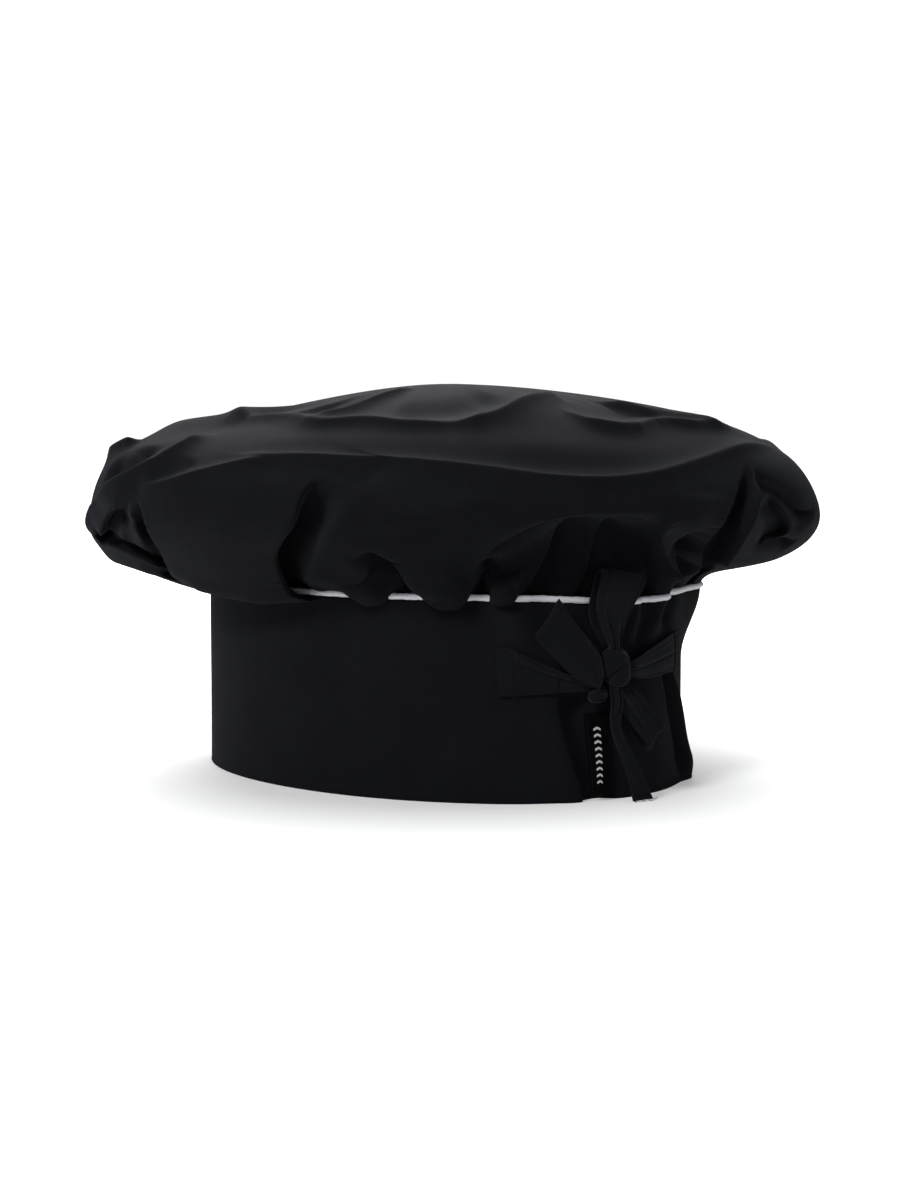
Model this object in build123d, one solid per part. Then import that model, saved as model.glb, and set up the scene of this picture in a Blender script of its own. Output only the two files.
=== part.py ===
"""A cloth chef's hat: a stiffened oval band, a wide gathered crown with piping at its seam,
and two ties sewn to the band's back that are drawn together in a bow.

Millimetres. +Z runs up from the head opening to the crown, the wearer faces -Y, and the bow is at +Y.
The origin is the centre of the head opening, in the plane that the band stands on.
"""

from build123d import *
import math
import os

# Band: an oval of four tangent arcs, measured on the face that touches the head.
HEAD_HALF_WIDTH = 82.4  # along X
HEAD_HALF_LENGTH = 104.9  # along Y
END_RADIUS = 67.4  # of the two arcs at the front and the back
BAND_HEIGHT = 74.0

# Layers of the band, as offsets outwards from the head's face.
LINING = (0.0, 0.55)
INTERFACING = (0.7, 1.85)
OUTER_CLOTH = (2.0, 2.6)
HEM_THICKNESS = 0.6  # the outer cloth turned in under the other layers
LAYER_GAP = 0.1
SEAM_ALLOWANCE = 4.0  # how far the crown and the piping reach down between the layers

# Piping in the seam between band and crown.
PIPING_RADIUS = 1.1
CORD_RADIUS = 0.75
PIPING_OFFSET = 2.6
PIPING_FLANGE = (1.5, 1.9)
PIPING_LIFT = 0.15

# Crown: cloth gathered into the seam, flaring to a wide rim, under a low dome.
CROWN_CLOTH = (0.65, 1.4)
CROWN_HEIGHT = 152.0
RIM_RADIUS = 143.0
RIM_HEIGHT = 104.0
SECTION_POINTS = 60
# Each lobe of the rim: waves round the crown, height of the wave, and its phase in degrees.
RIM_LOBES = ((2, 3.0, 250), (3, 2.4, 40), (5, 1.6, 120), (9, 1.6, 20))
# Height above the floor, and how far the cloth has come from the seam (0) to the rim (1).
UNDERSIDE = ((77.5, 0.0), (80.5, 0.26), (85.0, 0.62), (90.5, 0.87), (97.0, 0.98))
# Share of the crown's height above the rim, and share of the rim's radius.
DOME = ((0.0, 1.0), (0.2, 0.99), (0.35, 0.965), (0.48, 0.92), (0.6, 0.80), (0.72, 0.64), (0.83, 0.46), (0.92, 0.29))
DOME_CAP = 0.13  # share of the rim's radius that is flat at the very top
NICHE_AZIMUTH = 83.0  # where the crown leaves room for the bow
NICHE_WIDTH = 17.0
NICHE_TOP = 104.0

# Ties: the bow's own frame has its origin on the band, u along it, Z up and n outwards.
BOW_X = 13.0
BOW_HEIGHT = 49.0
TIE_THICKNESS = 0.9
TIE_STANDOFF = 0.35
# Outlines on the band, as (x, z): an anchor as wide as the tie, narrowing towards the knot.
LEFT_STRAP = ((50.0, 56.5), (44.0, 56.5), (23.5, 49.0), (23.5, 42.5), (44.0, 39.5), (49.5, 38.8))
RIGHT_STRAP = ((-36.0, 56.0), (-30.0, 56.5), (2.0, 51.0), (2.0, 45.0), (-30.0, 38.5), (-36.0, 38.5))
# Outlines in the bow's frame, as (u, height above the knot's centre).
UPPER_LOOP = ((-4.5, 8.6), (4.5, 8.6), (10.5, 19.0), (12.0, 32.6), (-5.5, 35.4), (-7.0, 21.0))
UPPER_LOOP_RUN = 83.0  # degrees from u that the loop runs in
LOWER_LOOP = ((5.0, -8.6), (10.5, -4.5), (24.0, -19.5), (17.5, -28.5), (8.0, -19.0))
LOWER_LOOP_RUN = -48.0
UPPER_TAIL = ((-9.2, -5.5), (-9.2, 1.5), (-17.0, 11.0), (-29.0, 25.0), (-40.0, 12.0), (-25.0, -2.0))
LOWER_TAIL = ((-4.5, -8.6), (3.0, -8.6), (5.0, -20.0), (9.5, -31.0), (12.5, -45.6), (-0.5, -45.6), (-5.0, -24.0))
LOOP_DEPTH = 3.6  # outside both layers of a folded loop
LOOP_BEND = 1.6  # length of the bend that joins the two layers
LOOP_STANDOFF = 1.2
TAIL_LEAN = 7.0  # degrees that the lower tail hangs away from the band
TAIL_BASE = 6.0  # how far the lower tail's root stands off the band
UPPER_TAIL_STANDOFF = 2.6

KNOT_SIZE = (14.6, 16.4, 9.0)  # along u, Z and n
KNOT_FILLET = 3.9
KNOT_STANDOFF = 1.8
TUCK_SIZE = (10.0, 6.0, 5.5)  # the turn of the left tie that shows below the knot
TUCK_CENTRE = (-10.3, -11.9)
TUCK_FILLET = 2.4

LABEL_SIZE = (10.0, 30.0)
LABEL_EDGE_X = 24.0  # where its sewn edge meets the band
LABEL_BASE = 2.2
LABEL_THICKNESS = 0.5
LABEL_STANDOFF = 0.3

STITCH = (0.45, 2.2, 0.35)  # width, length and depth of one stitch
STITCH_PITCH = 3.0
STITCH_SINK = 0.02  # gap between a stitch and the cloth below it
# Rows that hold the ties' ends to the band: x, lowest and highest point.
LEFT_ROW = (43.4, 41.0, 55.0)
RIGHT_ROW = (-29.2, 40.0, 55.0)
UPPER_HEM_STEPS = (1.6, 3.4)  # the two rows' distances from the upper tail's end
LOWER_HEM = ((11.5, -43.2), (0.6, -43.2))  # the row's ends in the bow's frame
LABEL_ROW_SETBACK = 1.0  # from the label's sewn edge to its row

# Centres and radii of the oval's arcs: the end arcs centre on Y, the side arcs on X.
END_CENTRE = HEAD_HALF_LENGTH - END_RADIUS
OVAL_EXCESS = HEAD_HALF_LENGTH - HEAD_HALF_WIDTH
SIDE_CENTRE = OVAL_EXCESS * (2 * END_CENTRE - OVAL_EXCESS) / (2 * (END_CENTRE - OVAL_EXCESS))
SIDE_RADIUS = HEAD_HALF_WIDTH + SIDE_CENTRE
TANGENT_ANGLE = math.degrees(math.atan2(END_CENTRE, SIDE_CENTRE))
BAND_FACE = OUTER_CLOTH[1]
CUT_REACH = 180.0  # farther back than any part of the band


def oval_arcs(offset):
    """The four arcs of the head's oval, moved outwards by offset, anticlockwise from -X's side."""
    side, end = SIDE_RADIUS + offset, END_RADIUS + offset
    turn = 2 * TANGENT_ANGLE
    return [
        CenterArc((-SIDE_CENTRE, 0), side, -TANGENT_ANGLE, turn),
        CenterArc((0, END_CENTRE), end, TANGENT_ANGLE, 180 - turn),
        CenterArc((SIDE_CENTRE, 0), side, 180 - TANGENT_ANGLE, turn),
        CenterArc((0, -END_CENTRE), end, 180 + TANGENT_ANGLE, 180 - turn),
    ]


def oval_face(offset):
    return make_face(Curve() + oval_arcs(offset))


def oval_ring(inner, outer, low, high):
    """A wall that follows the oval, from offset inner to outer and from low to high."""
    return Pos(0, 0, low) * extrude(oval_face(outer) - oval_face(inner), high - low)


def oval_radius(azimuth, offset):
    """Distance from the origin to the oval in a direction given in degrees from +X."""
    x, y = math.cos(math.radians(azimuth)), math.sin(math.radians(azimuth))
    side, end = SIDE_RADIUS + offset, END_RADIUS + offset
    turn = math.radians(TANGENT_ANGLE)
    joint = math.atan2(side * math.sin(turn), side * math.cos(turn) - SIDE_CENTRE)
    on_side = math.atan2(abs(y), abs(x)) < joint
    along = -SIDE_CENTRE * abs(x) if on_side else END_CENTRE * abs(y)
    centre, radius = (SIDE_CENTRE, side) if on_side else (END_CENTRE, end)
    return along + math.sqrt(along**2 - centre**2 + radius**2)


def oval_point(x, offset):
    """The point of the oval's back half at that x, and its outward normal."""
    radius, centre = END_RADIUS + offset, END_CENTRE
    reach = radius * math.cos(math.radians(TANGENT_ANGLE))
    if abs(x) <= reach:
        y = centre + math.sqrt(radius**2 - x**2)
        normal = Vector(x, y - centre, 0)
    else:
        radius = SIDE_RADIUS + offset
        y = math.sqrt(radius**2 - (abs(x) + SIDE_CENTRE) ** 2)
        normal = Vector(x + math.copysign(SIDE_CENTRE, x), y, 0)
    return Vector(x, y, 0), normal.normalized()


def bow_plane():
    """The bow's frame: local x is u along the band, local y is up and local z is n outwards."""
    point, normal = oval_point(BOW_X, BAND_FACE)
    origin = point + Vector(0, 0, BOW_HEIGHT)
    along = Vector(-normal.Y, normal.X, 0)
    return Plane(origin=origin, x_dir=along, z_dir=normal)


def window(outline):
    """A prism through the band's back half with an (x, z) outline."""
    face = make_face(Polyline(*[(x, 0, z) for x, z in outline], close=True))
    return extrude(face, CUT_REACH, dir=(0, 1, 0))


def wrapped(outline, standoff, thickness):
    """A flat piece that follows the band's outside, with an (x, z) outline."""
    low, high = min(z for _, z in outline), max(z for _, z in outline)
    skin = oval_ring(BAND_FACE + standoff, BAND_FACE + standoff + thickness, low - 1, high + 1)
    return skin & window(outline)


# ---------------------------------------------------------------- band


def band_outer_cloth():
    wall = oval_ring(*OUTER_CLOTH, 0, BAND_HEIGHT)
    hem = oval_ring(LINING[0], OUTER_CLOTH[1], 0, HEM_THICKNESS)
    return wall + hem


def band_interfacing():
    return oval_ring(*INTERFACING, HEM_THICKNESS + LAYER_GAP, BAND_HEIGHT - SEAM_ALLOWANCE - LAYER_GAP)


def band_lining():
    return oval_ring(*LINING, HEM_THICKNESS + LAYER_GAP, BAND_HEIGHT)


# ---------------------------------------------------------------- piping


def piping_height():
    return BAND_HEIGHT + PIPING_LIFT + PIPING_RADIUS


def oval_tube(radius):
    """A round tube that follows the seam, made of one piece of torus for each arc."""
    tube = Part()
    spans = [2 * TANGENT_ANGLE, 180 - 2 * TANGENT_ANGLE] * 2
    for arc, span in zip(oval_arcs(PIPING_OFFSET), spans):
        centre = arc.arc_center
        start = arc @ 0
        outward = (start - centre).normalized()
        section = Plane(origin=start, x_dir=outward, z_dir=Vector(0, 0, 1).cross(outward)) * Circle(radius)
        tube += revolve(section, Axis(centre, (0, 0, 1)), span)
    return Pos(0, 0, piping_height()) * tube


def piping_cover():
    flange = oval_ring(*PIPING_FLANGE, BAND_HEIGHT - SEAM_ALLOWANCE, piping_height())
    return flange + oval_tube(PIPING_RADIUS) - oval_tube(CORD_RADIUS)


def piping_cord():
    return oval_tube(CORD_RADIUS - LAYER_GAP / 2)


# ---------------------------------------------------------------- crown


def rim_radius(azimuth):
    waves = sum(height * math.cos(math.radians(count * azimuth + phase)) for count, height, phase in RIM_LOBES)
    return RIM_RADIUS + waves


def niche(azimuth, height):
    """How much of the flare is left, from 0 at the niche for the bow to 1 away from it or above it."""
    away = (azimuth - NICHE_AZIMUTH + 180) % 360 - 180
    rise = min(1.0, max(0.0, (height - UNDERSIDE[0][0]) / (NICHE_TOP - UNDERSIDE[0][0])))
    return 1 - math.exp(-((away / NICHE_WIDTH) ** 4)) * (1 - rise**2)


def meridian():
    """The crown's levels as (height, share, dome).

    Below the rim the share runs from the seam (0) to the rim (1). On the dome it is a share of the
    rim's radius.
    """
    low = [(BAND_HEIGHT - SEAM_ALLOWANCE, 0.0, False)] + [(z, share, False) for z, share in UNDERSIDE]
    rise = CROWN_HEIGHT - RIM_HEIGHT
    high = [(RIM_HEIGHT + share * rise, radius, True) for share, radius in DOME]
    return low + high + [(CROWN_HEIGHT, DOME_CAP, True)]


def crown_section(height, share, dome, inwards, drop):
    """One closed outline of the crown, moved inwards and down by the cloth's thickness."""
    points = []
    for i in range(SECTION_POINTS):
        azimuth = 360 * i / SECTION_POINTS
        seam = oval_radius(azimuth, CROWN_CLOTH[1])
        rim = rim_radius(azimuth)
        flared = seam + (rim - seam) * share * niche(azimuth, height)
        radius = (rim * share if dome else flared) - inwards
        spot = math.radians(azimuth)
        points.append((radius * math.cos(spot), radius * math.sin(spot), height - drop))
    return Wire([Edge.make_spline([Vector(*p) for p in points], periodic=True)])


def crown_cloth():
    levels = meridian()
    thickness = CROWN_CLOTH[1] - CROWN_CLOTH[0]
    profile = []
    for height, share, dome in levels:
        radius = RIM_RADIUS * share if dome else HEAD_HALF_LENGTH + (RIM_RADIUS - HEAD_HALF_LENGTH) * share
        profile.append((radius, height))
    outside, inside = [], []
    for i, (height, share, dome) in enumerate(levels):
        (r0, z0), (r1, z1) = profile[max(i - 1, 0)], profile[min(i + 1, len(profile) - 1)]
        length = math.hypot(r1 - r0, z1 - z0)
        inwards, drop = thickness * (z1 - z0) / length, thickness * (r0 - r1) / length
        if i in (0, len(levels) - 1):
            inwards, drop = thickness, thickness
        outside.append(crown_section(height, share, dome, 0, 0))
        inside.append(crown_section(height, share, dome, inwards, drop))
    return Solid.make_loft(outside, ruled=True) - Solid.make_loft(inside, ruled=True)


# ---------------------------------------------------------------- ties


def left_tie_strap():
    return wrapped(LEFT_STRAP, TIE_STANDOFF, TIE_THICKNESS)


def right_tie_strap():
    return wrapped(RIGHT_STRAP, TIE_STANDOFF, TIE_THICKNESS)


def rounded_block(size, fillet_radius, centre, standoff):
    """A cushion-shaped block in the bow's frame, its back at standoff from the band's tangent plane."""
    block = Box(*size)
    block = fillet(block.edges(), fillet_radius)
    return bow_plane() * (Pos(centre[0], centre[1], standoff + size[2] / 2) * block)


def bow_knot():
    return rounded_block(KNOT_SIZE, KNOT_FILLET, (0, 0), KNOT_STANDOFF)


def knot_tuck():
    return rounded_block(TUCK_SIZE, TUCK_FILLET, TUCK_CENTRE, KNOT_STANDOFF)


def plate(outline, standoff, thickness):
    """A flat piece in the bow's frame."""
    return Pos(0, 0, standoff) * extrude(make_face(Polyline(*outline, close=True)), thickness)


def folded_loop(outline, direction):
    """A tie folded back on itself: two layers joined by a bend at the far end, direction in degrees from u."""
    block = plate(outline, LOOP_STANDOFF, LOOP_DEPTH)
    turn = Rot(0, 0, direction)
    reach = max(Vector(u, v).rotate(Axis.Z, -direction).X for u, v in outline)
    gap_depth = LOOP_DEPTH - 2 * TIE_THICKNESS
    length = 2 * reach
    gap = Box(length, length * 2, gap_depth)
    gap = fillet(gap.edges().filter_by(Axis.Y), gap_depth * 0.45)
    gap_centre = reach - LOOP_BEND - length / 2
    return block - turn * Pos(gap_centre, 0, LOOP_STANDOFF + LOOP_DEPTH / 2) * gap


def upper_loop():
    return bow_plane() * folded_loop(UPPER_LOOP, UPPER_LOOP_RUN)


def lower_loop():
    return bow_plane() * folded_loop(LOWER_LOOP, LOWER_LOOP_RUN)


def upper_tail():
    """Follows the band, standing off it in front of the left strap."""
    plane = bow_plane()
    corners = [plane.from_local_coords(Vector(u, v, 0)) for u, v in UPPER_TAIL]
    outline = [(p.X, p.Z) for p in corners]
    return wrapped(outline, UPPER_TAIL_STANDOFF, TIE_THICKNESS)


def tail_frame():
    """The lower tail's own frame in the bow's frame, at its root and leaning out."""
    root = LOWER_TAIL[0][1]
    return Pos(0, root, TAIL_BASE) * Rot(TAIL_LEAN, 0, 0) * Pos(0, -root, 0)


def lower_tail():
    return bow_plane() * tail_frame() * plate(LOWER_TAIL, 0, TIE_THICKNESS)


# ---------------------------------------------------------------- label


def label_outline():
    width, height = LABEL_SIZE
    x = LABEL_EDGE_X
    return ((x, LABEL_BASE), (x, LABEL_BASE + height), (x - width, LABEL_BASE + height), (x - width, LABEL_BASE))


def back_label():
    return wrapped(label_outline(), LABEL_STANDOFF, LABEL_THICKNESS)


# ---------------------------------------------------------------- stitching


def stitch_row(start, end):
    """Stitches from start to end in a local plane, lying on its surface."""
    width, length, depth = STITCH
    run = Vector(*end) - Vector(*start)
    count = int(run.length // STITCH_PITCH)
    angle = math.degrees(math.atan2(run.Y, run.X)) - 90
    row = []
    for i in range(count):
        spot = Vector(*start) + run * ((i + 0.5) / count)
        row.append(Pos(spot.X, spot.Y, depth / 2 + STITCH_SINK) * Rot(0, 0, angle) * Box(width, length, depth))
    return row


def surface_plane(x, offset):
    """A frame on the band's outside at that x: local x along the band, local y up."""
    point, normal = oval_point(x, offset)
    return Plane(origin=point, x_dir=Vector(-normal.Y, normal.X, 0), z_dir=normal)


def strap_stitching(x, low, high):
    """One vertical row that holds a tie's end to the band."""
    plane = surface_plane(x, BAND_FACE + TIE_STANDOFF + TIE_THICKNESS)
    return Part() + [plane * s for s in stitch_row((0, low), (0, high))]


def left_strap_stitching():
    return strap_stitching(*LEFT_ROW)


def right_strap_stitching():
    return strap_stitching(*RIGHT_ROW)


def upper_tail_hem():
    """Two rows across the tail's end, each stitch lying on the curved tail."""
    plane = bow_plane()
    start, end = Vector(*UPPER_TAIL[3]), Vector(*UPPER_TAIL[4])
    run = end - start
    inward = Vector(-run.Y, run.X).normalized()
    width, length, depth = STITCH
    stitch = Pos(0, 0, STITCH_SINK + depth / 2) * Rot(0, 0, math.degrees(math.atan2(run.Y, run.X)) - 90)
    stitch *= Box(width, length, depth)
    count = int(run.length // STITCH_PITCH)
    stitches = []
    for step in UPPER_HEM_STEPS:
        for i in range(count):
            spot = start + inward * step + run * ((i + 0.5) / count)
            world = plane.from_local_coords(spot)
            face = surface_plane(world.X, BAND_FACE + UPPER_TAIL_STANDOFF + TIE_THICKNESS)
            stitches.append(face * Pos(0, world.Z, 0) * stitch)
    return Part() + stitches


def lower_tail_hem():
    row = stitch_row(*LOWER_HEM)
    return Part() + [bow_plane() * tail_frame() * Pos(0, 0, TIE_THICKNESS) * s for s in row]


def label_stitching():
    """The row along the label's sewn edge, on the band beside it."""
    plane = surface_plane(LABEL_EDGE_X + LABEL_ROW_SETBACK, BAND_FACE)
    top = LABEL_BASE + LABEL_SIZE[1]
    return Part() + [plane * s for s in stitch_row((0, LABEL_BASE), (0, top))]


NODES = (
    band_outer_cloth,
    band_interfacing,
    band_lining,
    piping_cover,
    piping_cord,
    crown_cloth,
    left_tie_strap,
    right_tie_strap,
    left_strap_stitching,
    right_strap_stitching,
    bow_knot,
    knot_tuck,
    upper_loop,
    lower_loop,
    upper_tail,
    upper_tail_hem,
    lower_tail,
    lower_tail_hem,
    back_label,
    label_stitching,
)

if __name__ == "__main__":
    os.makedirs("parts", exist_ok=True)
    for make in NODES:
        export_step(make(), f"parts/{make.__name__}.step")
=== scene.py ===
"""Looks of a black cloth chef's hat: gathered crown, stiffened band, white piping and a tied bow.

Metres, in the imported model's frame: +Z up, the wearer faces -Y, and the bow is at +Y.
"""

import math

import bmesh
import bpy
import numpy as np
from mathutils import Matrix, Vector


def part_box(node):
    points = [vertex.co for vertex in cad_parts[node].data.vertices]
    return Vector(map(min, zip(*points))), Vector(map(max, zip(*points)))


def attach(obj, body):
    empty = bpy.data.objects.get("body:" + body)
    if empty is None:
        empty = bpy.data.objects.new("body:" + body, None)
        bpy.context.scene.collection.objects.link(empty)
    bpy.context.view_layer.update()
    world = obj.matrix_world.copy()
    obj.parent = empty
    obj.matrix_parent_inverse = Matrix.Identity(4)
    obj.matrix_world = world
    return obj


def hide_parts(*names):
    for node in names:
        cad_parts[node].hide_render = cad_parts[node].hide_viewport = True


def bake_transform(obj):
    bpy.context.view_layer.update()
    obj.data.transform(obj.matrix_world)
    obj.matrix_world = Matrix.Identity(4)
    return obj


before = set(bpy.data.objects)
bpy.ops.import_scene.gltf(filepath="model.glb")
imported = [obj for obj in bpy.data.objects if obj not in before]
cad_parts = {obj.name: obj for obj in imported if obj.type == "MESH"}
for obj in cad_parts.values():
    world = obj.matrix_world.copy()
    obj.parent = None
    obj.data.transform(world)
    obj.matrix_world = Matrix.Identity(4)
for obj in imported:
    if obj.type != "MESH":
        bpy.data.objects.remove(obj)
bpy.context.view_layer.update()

MM = 0.001
CLOTH = 0.45 * MM  # thickness of the black cloth

BAND_LOW, BAND_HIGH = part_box("band_outer_cloth")
LINING_LOW, LINING_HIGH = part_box("band_lining")
KNOT_LOW, KNOT_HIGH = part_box("bow_knot")
BAND_TOP = BAND_HIGH[2]
HALF_WIDTH, HALF_LENGTH = BAND_HIGH[0], BAND_HIGH[1]
END_RADIUS = 70.0 * MM  # of the oval's arcs at the front and the back, on the band's outside
BOW_AZIMUTH = 84.9  # degrees from +X, seen from the hat's middle
BOW_CENTRE = Vector((KNOT_LOW[0] + KNOT_HIGH[0], 0, KNOT_LOW[2] + KNOT_HIGH[2])) / 2


# ---------- shapes


class Oval:
    """Four tangent arcs, given by the half width, the half length and the radius of the end arcs."""

    def __init__(self, half_width, half_length, end_radius):
        self.end_centre = half_length - end_radius
        excess = half_length - half_width
        self.side_centre = excess * (2 * self.end_centre - excess) / (2 * (self.end_centre - excess))
        self.end, self.side = end_radius, half_width + self.side_centre
        self.turn = math.atan2(self.end_centre, self.side_centre)
        self.side_run = self.side * self.turn
        self.quarter = self.side_run + self.end * (math.pi / 2 - self.turn)
        self.length = 4 * self.quarter

    def at(self, run):
        """Points and outward normals at runs measured anticlockwise from +X."""
        run = np.asarray(run, float)
        fold = np.mod(run, 2 * self.quarter)
        mirrored = fold > self.quarter
        fold = np.where(mirrored, 2 * self.quarter - fold, fold)
        on_side = fold < self.side_run
        angle = np.where(on_side, fold / self.side, self.turn + (fold - self.side_run) / self.end)
        x = np.where(on_side, self.side * np.cos(angle) - self.side_centre, self.end * np.cos(angle))
        y = np.where(on_side, self.side * np.sin(angle), self.end * np.sin(angle) + self.end_centre)
        nx, ny = np.cos(angle), np.sin(angle)
        x, nx = np.where(mirrored, -x, x), np.where(mirrored, -nx, nx)
        half_turn = np.where(np.mod(run, self.length) >= 2 * self.quarter, -1.0, 1.0)
        flat = np.zeros_like(x)
        point = np.stack([x * half_turn, y * half_turn, flat], -1)
        return point, np.stack([nx * half_turn, ny * half_turn, flat], -1)

    def run_at_azimuth(self, azimuth):
        """The run of the point seen from the centre in each direction, in radians."""
        table = np.linspace(0, self.length, 1441)
        point, _ = self.at(table)
        seen = np.unwrap(np.arctan2(point[:, 1], point[:, 0]))
        seen[-1] = 2 * math.pi
        turns = np.floor(np.asarray(azimuth) / (2 * math.pi))
        return np.interp(azimuth - turns * 2 * math.pi, seen, table) + turns * self.length


def smooth(x):
    x = np.clip(x, 0, 1)
    return x * x * (3 - 2 * x)


def bump(x):
    return np.exp(-x * x)


def dome(x):
    return np.exp(-x**4)


def tent(x):
    """A sharp-topped bump: 1 at 0, and a third at 1."""
    return np.exp(0.3 - 1.25 * np.sqrt(x * x + 0.06) - (x / 2.6) ** 4)


def fold(a, b, path, width, lean=0.0, ends=0.2):
    """Signed distance in widths from a path, how much the path counts, and the way across it.

    path is a list of (a, b) points, and the distance is positive on the path's right. lean makes that
    side wider and the left side narrower, or the reverse. The path fades out over its two ends. The last
    result is the unit (a, b) direction that points to the right.
    """
    nearest = np.full(a.shape, np.inf)
    signed, along = np.zeros(a.shape), np.zeros(a.shape)
    right = np.zeros(a.shape + (2,))
    spans = [math.dist(p, q) for p, q in zip(path, path[1:])]
    done, total = 0.0, sum(spans)
    for (pa, pb), (qa, qb), span in zip(path, path[1:], spans):
        da, db = (qa - pa) / span, (qb - pb) / span
        reach = np.clip((a - pa) * da + (b - pb) * db, 0, span)
        oa, ob = a - pa - reach * da, b - pb - reach * db
        distance = np.hypot(oa, ob)
        closer = distance < nearest
        side = np.where(oa * db - ob * da >= 0, 1.0, -1.0)
        nearest = np.where(closer, distance, nearest)
        signed = np.where(closer, side * distance, signed)
        along = np.where(closer, (done + reach) / total, along)
        right[closer] = (db, -da)
        done += span
    x = signed / (width * np.where(signed > 0, 1 + lean, 1 - lean))
    return x, smooth(along / ends) * smooth((1 - along) / ends), right


def spline(knots, points, slopes, wanted):
    """The smooth curve through points[i] with slopes[i] at knots[i], at each wanted place."""
    i = np.clip(np.searchsorted(knots, wanted, side="right") - 1, 0, len(knots) - 2)
    spread = (-1,) + (1,) * (points.ndim - 1)
    step = (knots[i + 1] - knots[i]).reshape(spread)
    s = (wanted - knots[i]).reshape(spread) / step
    return ((2 * s**3 - 3 * s**2 + 1) * points[i] + (s**3 - 2 * s**2 + s) * slopes[i] * step
            + (3 * s**2 - 2 * s**3) * points[i + 1] + (s**3 - s**2) * slopes[i + 1] * step)


def smooth_path(points, count):
    """count points on the Catmull-Rom curve through points, evenly spaced by the chords' length."""
    points = np.asarray(points, float)
    knots = np.concatenate([[0], np.cumsum(np.linalg.norm(np.diff(points, axis=0), axis=1) + 1e-9)])
    return spline(knots, points, np.gradient(points, knots, axis=0), np.linspace(0, knots[-1], count))


def unit(vectors):
    return vectors / (np.linalg.norm(vectors, axis=-1, keepdims=True) + 1e-9)


def ring_angles(count):
    return np.linspace(0, 2 * math.pi, count, endpoint=False)


def add_object(name, data):
    obj = bpy.data.objects.new(name, data)
    bpy.context.scene.collection.objects.link(obj)
    return obj


def add_mesh(name, verts, faces, material, body="hat", rounded=True):
    """An object that moves with a body, or with none."""
    mesh = bpy.data.meshes.new(name)
    mesh.from_pydata(verts, [], faces)
    mesh.polygons.foreach_set("use_smooth", np.full(len(faces), rounded))
    mesh.materials.append(material)
    obj = add_object(name, mesh)
    if body:
        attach(obj, body)
    return obj


def grid_mesh(name, points, closed, uv, material, body="hat"):
    """A mesh from a (columns, rows, 3) array of points, closed round its columns or not.

    uv is the pair of coordinates across and along the cloth, in metres.
    """
    columns, rows = points.shape[:2]
    index = np.arange(columns * rows).reshape(columns, rows)
    a = index if closed else index[:-1]
    b = np.roll(index, -1, 0) if closed else index[1:]
    faces = np.stack([a[:, :-1], b[:, :-1], b[:, 1:], a[:, 1:]], -1).reshape(-1, 4)
    obj = add_mesh(name, points.reshape(-1, 3).tolist(), faces.tolist(), material, body)
    uv = np.stack(np.broadcast_arrays(*uv), -1)
    layer = obj.data.uv_layers.new(name="cloth")
    corner = np.zeros(len(obj.data.loops), int)
    obj.data.loops.foreach_get("vertex_index", corner)
    spots = uv.reshape(-1, 2)[corner].reshape(-1, 4, 2)
    if closed:
        span = uv[-1, 0, 0] + uv[1, 0, 0] - 2 * uv[0, 0, 0]
        wraps = spots[..., 0] < spots[..., 0].max(1, keepdims=True) - span / 2
        spots[..., 0] += np.where(wraps, span, 0)
    layer.data.foreach_set("uv", spots.reshape(-1).astype(np.float32))
    return obj


def weld(obj):
    """Join the vertices that lie in one place, such as the last row of points where a grid closes."""
    shape = bmesh.new()
    shape.from_mesh(obj.data)
    bmesh.ops.remove_doubles(shape, verts=shape.verts, dist=1e-7)
    shape.to_mesh(obj.data)
    shape.free()


def thicken(obj, thickness, offset=-1.0):
    """Gives a surface a thickness, inwards at offset -1 and to both sides at offset 0."""
    solid = obj.modifiers.new("thickness", "SOLIDIFY")
    solid.thickness = thickness
    solid.offset = offset
    solid.use_even_offset = False


def apply_modifiers(obj):
    """Gives the object the mesh that its modifiers make."""
    evaluated = obj.evaluated_get(bpy.context.evaluated_depsgraph_get())
    mesh = bpy.data.meshes.new_from_object(evaluated)
    obj.modifiers.clear()
    obj.data = mesh


# ---------- materials


WAVE_PERIOD = 0.314  # metres between the bands of a wave texture of scale 1


def node_material(name):
    """A new material, its nodes and its shader."""
    material = bpy.data.materials.new(name)
    material.use_nodes = True
    nodes = material.node_tree.nodes
    return material, nodes, nodes["Principled BSDF"]


def set_inputs(node, **values):
    """Sets a shader node's inputs, named with _ for each space."""
    for name, value in values.items():
        node.inputs[name.replace("_", " ")].default_value = value


def add_node(nodes, kind, **values):
    node = nodes.new("ShaderNode" + kind)
    set_inputs(node, **values)
    return node


def wire(source, output, target, entry):
    source.id_data.links.new(source.outputs[output], target.inputs[entry])


def add_relief(nodes, texture, output, shader, strength, distance):
    """Makes a shader's surface seem to rise with a texture's output."""
    relief = add_node(nodes, "Bump", Strength=strength, Distance=distance)
    wire(texture, output, relief, "Height")
    wire(relief, "Normal", shader, "Normal")


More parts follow.
